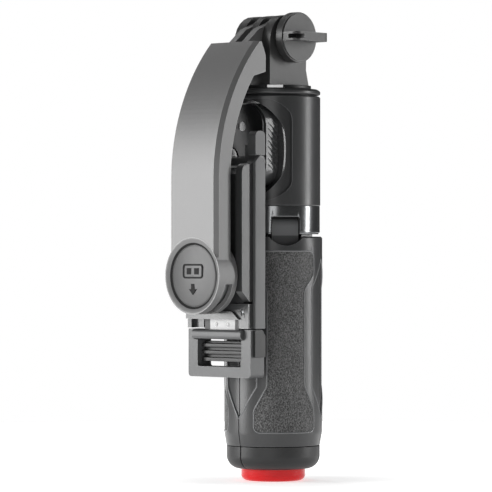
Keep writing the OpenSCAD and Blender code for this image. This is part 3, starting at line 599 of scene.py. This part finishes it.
class GIMBAL_OT_stage(bpy.types.Operator):
    """Set up the camera, the pale floor and the soft studio light"""

    bl_idname = "gimbal.stage"
    bl_label = "Stage"

    def execute(self, context):
        settings = context.scene.gimbal_stage
        self.camera(context, settings)
        self.floor(settings)
        self.world(context)
        middle = Vector((0.0, -0.02, 0.09))
        left = Vector((-math.cos(settings.azimuth), -math.sin(settings.azimuth), 0.0))
        toward = Vector((math.sin(settings.azimuth), -math.cos(settings.azimuth), 0.0))
        for name, across, ahead, height, wide, tall, power in (
            ("left_box", 0.85, 0.12, 0.09, 0.42, 0.56, settings.left_power),
            ("right_strip", -0.80, -0.06, 0.05, 0.12, 0.70, settings.right_power),
            ("front_fill", 0.25, 1.35, 0.10, 0.9, 0.5, settings.front_power),
            ("back_rim", 0.35, -0.75, 0.25, 0.25, 0.8, settings.back_power),
            ("top_box", 0.0, 0.05, 0.80, 0.5, 0.3, settings.top_power),
        ):
            place = middle + left * across + toward * ahead
            place.z = middle.z + height
            area_light(name, place, middle, wide, tall, power)
        return {"FINISHED"}

    def camera(self, context, settings):
        right = Vector((math.cos(settings.azimuth), math.sin(settings.azimuth), 0.0))
        forward = Vector((-math.sin(settings.azimuth), math.cos(settings.azimuth), 0.0))
        data = bpy.data.cameras.new("camera")
        data.lens = settings.lens
        data.sensor_width = 36.0
        data.clip_start = 0.05
        data.clip_end = 50.0
        obj = bpy.data.objects.new("camera", data)
        obj.location = -forward * settings.distance - right * settings.aside
        obj.location.z = settings.height
        obj.rotation_mode = "QUATERNION"
        obj.rotation_quaternion = forward.to_track_quat("-Z", "Y")
        context.scene.collection.objects.link(obj)
        context.scene.camera = obj

    def floor(self, settings):
        mesh = bpy.data.meshes.new("floor")
        shape = bmesh.new()
        bmesh.ops.create_circle(shape, cap_ends=True, segments=96, radius=FLOOR_R)
        shape.to_mesh(mesh)
        shape.free()
        obj = bpy.data.objects.new("floor", mesh)
        obj.location.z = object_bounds()[0].z - 0.00005
        bpy.context.scene.collection.objects.link(obj)
        s = Sheet("pale_floor")
        mottle = s.noise(0.05, 2.0)
        bright = tuple(settings.floor) + (1.0,)
        dull = tuple(0.97 * c for c in settings.floor) + (1.0,)
        # painted shadow: the floor glows dimmer near the object and rises to even white further out
        far = ((s.away((0.0, 0.0, 0.0), "Z") - GLOW_START) * GLOW_RISE).clamp()
        glow = s.mix(far, shade(GLOW_NEAR), shade(1.0))
        mesh.materials.append(
            s.finish(
                Base_Color=s.mix(mottle, dull, bright),
                Roughness=0.7,
                Emission_Color=glow,
                Emission_Strength=1.0,
            )
        )
        obj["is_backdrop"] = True

    def world(self, context):
        """White behind the object, dimmer where it only lights the object."""
        world = bpy.data.worlds.new("studio")
        world.use_nodes = True
        tree = world.node_tree
        background = tree.nodes["Background"]
        background.inputs["Color"].default_value = (1.0, 1.0, 1.0, 1.0)
        seen = tree.nodes.new("ShaderNodeLightPath")
        bright = tree.nodes.new("ShaderNodeMapRange")
        bright.inputs["To Min"].default_value = WORLD_FILL
        bright.inputs["To Max"].default_value = 1.0
        tree.links.new(seen.outputs["Is Camera Ray"], bright.inputs["Value"])
        tree.links.new(bright.outputs["Result"], background.inputs["Strength"])
        context.scene.world = world
        context.scene.view_settings.view_transform = "Standard"


class GIMBAL_OT_finishes(bpy.types.Operator):
    """Give every construction node its material and rounded edges"""

    bl_idname = "gimbal.finishes"
    bl_label = "Finishes"

    def execute(self, context):
        tone = context.scene.gimbal_finish
        charcoal = moulded_plastic("charcoal_plastic", tone.grip, 0.32)
        leg_shell = moulded_plastic("leg_plastic", tone.grip, 0.32, pale_above=LEG_TOP)
        tin = satin_paint("tongue_tin", 0.40, 0.5, strip=UNSHADED_STRIP)
        black = moulded_plastic("black_plastic", 0.012, 0.45)
        slate = moulded_plastic("slate_plastic", 0.045, 0.26)
        frame_grey = moulded_plastic("jaw_plastic", 0.075, 0.42)
        arm = satin_paint("arm_paint", tone.arm, cap_groove_shade=True)
        disc = satin_paint("cap_paint", 0.036, 0.38)
        neck = satin_paint("neck_paint", tone.neck, 0.42)
        rubber = grip_rubber("grip_rubber")
        gloss = gloss_plastic("black_gloss", (0.012, 0.012, 0.013, 1.0))
        steel = drawn_metal("bright_steel", 0.38, 0.36)
        tube = drawn_metal("tube_steel", 0.42, 0.34, (30.0, 30.0, 1.0))
        collar = drawn_metal("dark_chrome", 0.22, 0.2, (1.0, 1.0, 20.0))
        bush = moulded_plastic("white_bush", 0.75, 0.4, tint=0.0)
        finishes = {
            charcoal: ["body_shell", "top_ring", "leg_hub", "centre_column", "clamp_body"],
            leg_shell: ["leg_1", "leg_2", "leg_3"],
            black: ["pole_collar", "arm_cover", "jaw_grip", "clamp_back", "leg_foot_1",
                    "leg_foot_2", "leg_foot_3"],
            slate: ["remote_bay", "remote_shell", "clamp_bracket", "thumb_key", "power_button"],
            frame_grey: ["lower_jaw", "upper_jaw", "knuckle_bar", "clamp_rails"],
            arm: ["arm_shell"],
            disc: ["motor_cap"],
            neck: ["neck", "tilt_knob", "tilt_nut"],
            rubber: ["leg_grip_1", "leg_grip_2", "leg_grip_3"],
            gloss: ["remote_face"],
            steel: ["leg_pins", "tilt_bolt", "cover_screws", "motor_bearings", "motor_rotor",
                    "clamp_spring", "clamp_screws", "jaw_pin", "upper_jaw_pin"],
            tin: ["slide_tongue", "tongue_rivets"],
            tube: ["outer_tube", "pole_1", "pole_2", "pole_3", "pole_4"],
            collar: ["collar_ring"],
            bush: ["pole_plug_1", "pole_plug_2", "pole_plug_3", "pole_plug_4"],
            red_lens("red_lens"): ["base_cap"],
            circuit_board("circuit_board"): ["control_board", "remote_board"],
            copper_coil("copper_coil"): ["motor_stator"],
            shrink_wrap("cell_wrap"): ["battery"],
        }
        for material, nodes in finishes.items():
            for node in nodes:
                cover(node, material)
        missed = sorted(set(NODES) - {n for nodes in finishes.values() for n in nodes})
        if missed:
            raise RuntimeError(f"no finish for {missed}")
        shading = smooth_shading()
        for node in sorted(NODES):
            if node not in LEFT_SHARP:
                soften(node, tone.edge, shading)
        return {"FINISHED"}


def leg_azimuth(leg):
    return math.radians(60 + 120 * (leg - 1) - 90)


class GIMBAL_OT_leg_beads(bpy.types.Operator):
    """Raised beads around the rubber inlays and along the seam fields of the legs"""

    bl_idname = "gimbal.leg_beads"
    bl_label = "Leg beads"

    def execute(self, context):
        # painted highlight: the beads are a paler grey than the legs, standing for the light along the inlay
        # and seam edges
        lip = moulded_plastic("bead_plastic", 0.13, 0.26)
        low, high = (corner.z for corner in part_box("leg_grip_1"))
        z0, z1 = low - 0.1 * MM, high + 0.1 * MM
        wide, waist = LEG_R * 0.628, LEG_R * 0.392
        right = [(wide, z0), (wide, z0 + 9 * MM), (waist, z0 + 18.8 * MM),
                 (waist, z1 - 15.5 * MM), (wide, z1 - 9.4 * MM), (wide, z1)]
        outline = right + [(-y, z) for y, z in reversed(right)]
        corners = [2.5 * MM if z in (z0, z1) else 4 * MM for _, z in outline]
        edge = refine(rounded(outline, corners), 0.6 * MM, True)
        spindle = [(0.25, z0 + 5.5 * MM), (8.2, z0 + 18.4 * MM), (8.2, z1 - 15.2 * MM), (0.25, z1 - 3.2 * MM)]
        for leg in (1, 2, 3):
            turn = leg_azimuth(leg)
            ring = bead(f"inlay_bead_{leg}", on_cylinder(edge, LEG_R - 0.14 * MM, turn), 0.34 * MM, lip)
            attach(ring, f"leg_{leg}")
            for side, word in ((1, "left"), (-1, "right")):
                line = refine([Vector((-side * y * MM, z)) for y, z in spindle], 0.6 * MM, False)
                path = on_cylinder(line, LEG_R - 0.26 * MM, turn + side * math.pi / 3)
                piece = bead(f"seam_bead_{leg}_{word}", path, 0.42 * MM, lip, closed=False)
                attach(piece, f"leg_{leg}")
        return {"FINISHED"}


class GIMBAL_OT_cap_mark(bpy.types.Operator):
    """Plain pictogram printed on the motor's cap: a frame with two pads, and an arrow"""

    bl_idname = "gimbal.cap_mark"
    bl_label = "Cap mark"

    def execute(self, context):
        ink = gloss_plastic("mark_ink", (0.002, 0.002, 0.002, 1.0), 0.6)
        z = HUB.z
        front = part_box("motor_cap")[0].y
        outer = rounded(self.frame_outline(5.6, 2.9, 1.9), [1.3] * 4)
        inner = rounded(self.frame_outline(4.9, 2.2, 1.9), [0.8] * 4)
        ring = [outer[i:i + 2] + inner[i:i + 2][::-1] for i in range(len(outer) - 1)]
        ring.append([outer[-1], outer[0], inner[0], inner[-1]])
        pads = [[(x + a * 1.25, 1.9 + b * 1.25) for a, b in ((-1, -1), (1, -1), (1, 1), (-1, 1))]
                for x in (-2.1, 2.1)]
        arrow = [(-0.9, -3.1), (-0.9, -5.2), (-2.2, -5.2), (0, -7.4), (2.2, -5.2), (0.9, -5.2), (0.9, -3.1)]
        shapes = [[(x * MM, z + up * MM) for x, up in outline] for outline in ring + pads + [arrow]]
        mark = slab("cap_mark", shapes, front - 0.05 * MM, front + 0.55 * MM, ink)
        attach(mark, "arm")
        return {"FINISHED"}

    def frame_outline(self, half_wide, half_tall, up):
        return [(-half_wide, up - half_tall), (half_wide, up - half_tall),
                (half_wide, up + half_tall), (-half_wide, up + half_tall)]


class GIMBAL_OT_lock_window(bpy.types.Operator):
    """Glowing white insert in the slots of the pole's lock collar: painted light for the bright backdrop seen
    through the slots
    """

    bl_idname = "gimbal.lock_window"
    bl_label = "Lock window"

    def execute(self, context):
        s = Sheet("painted_glint_white")
        bloom = s.noise(0.002, 2.0)
        colour = s.mix(bloom, shade(0.85), shade(0.98))
        # painted light: white with a glow of its own, though no lamp is there
        white = s.finish(
            Base_Color=colour, Roughness=0.35, Emission_Color=colour, Emission_Strength=0.35
        )
        low, high = (corner.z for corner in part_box("pole_collar"))
        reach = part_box("pole_collar")[1].x
        shape = bmesh.new()
        rings = []
        for k in range(GLINT_STEPS + 1):
            angle = math.radians(GLINT_TURN + GLINT_HALF * (2 * k / GLINT_STEPS - 1))
            side = (math.cos(angle), math.sin(angle))
            rings.append([
                shape.verts.new((side[0] * r, side[1] * r, z))
                for r, z in ((reach - 1.6 * MM, low + 0.32 * MM), (reach - 0.4 * MM, low + 0.32 * MM),
                             (reach - 0.4 * MM, high - 0.1 * MM), (reach - 1.6 * MM, high - 0.1 * MM))
            ])
        for first, last in zip(rings, rings[1:]):
            for i in range(4):
                k = (i + 1) % 4
                shape.faces.new((first[i], first[k], last[k], last[i]))
        shape.faces.new(rings[0][::-1])
        shape.faces.new(rings[-1])
        bmesh.ops.recalc_face_normals(shape, faces=shape.faces)
        mesh = bpy.data.meshes.new("lock_window")
        shape.to_mesh(mesh)
        shape.free()
        mesh.materials.append(white)
        piece = add_piece("lock_window", mesh)
        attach(piece, "handle")
        return {"FINISHED"}


class GIMBAL_PT_looks(bpy.types.Panel):
    """Sidebar panel that lists the steps and their settings"""

    bl_label = "Gimbal looks"
    bl_idname = "GIMBAL_PT_looks"
    bl_space_type = "VIEW_3D"
    bl_region_type = "UI"
    bl_category = "Gimbal"

    def draw(self, context):
        for group in (context.scene.gimbal_stage, context.scene.gimbal_finish):
            box = self.layout.box()
            for name in group.__annotations__:
                box.prop(group, name)
        for step in STEPS:
            self.layout.operator(step.bl_idname)


STEPS = (
    GIMBAL_OT_stage,
    GIMBAL_OT_finishes,
    GIMBAL_OT_leg_beads,
    GIMBAL_OT_cap_mark,
    GIMBAL_OT_lock_window,
)
CLASSES = (StageSettings, FinishSettings, *STEPS, GIMBAL_PT_looks)


def register():
    for cls in CLASSES:
        bpy.utils.register_class(cls)
    bpy.types.Scene.gimbal_stage = bpy.props.PointerProperty(type=StageSettings)
    bpy.types.Scene.gimbal_finish = bpy.props.PointerProperty(type=FinishSettings)


def unregister():
    del bpy.types.Scene.gimbal_finish
    del bpy.types.Scene.gimbal_stage
    for cls in reversed(CLASSES):
        bpy.utils.unregister_class(cls)


def main():
    register()
    for step in STEPS:
        group, name = step.bl_idname.split(".")
        getattr(getattr(bpy.ops, group), name)()


if __name__ == "__main__":
    main()
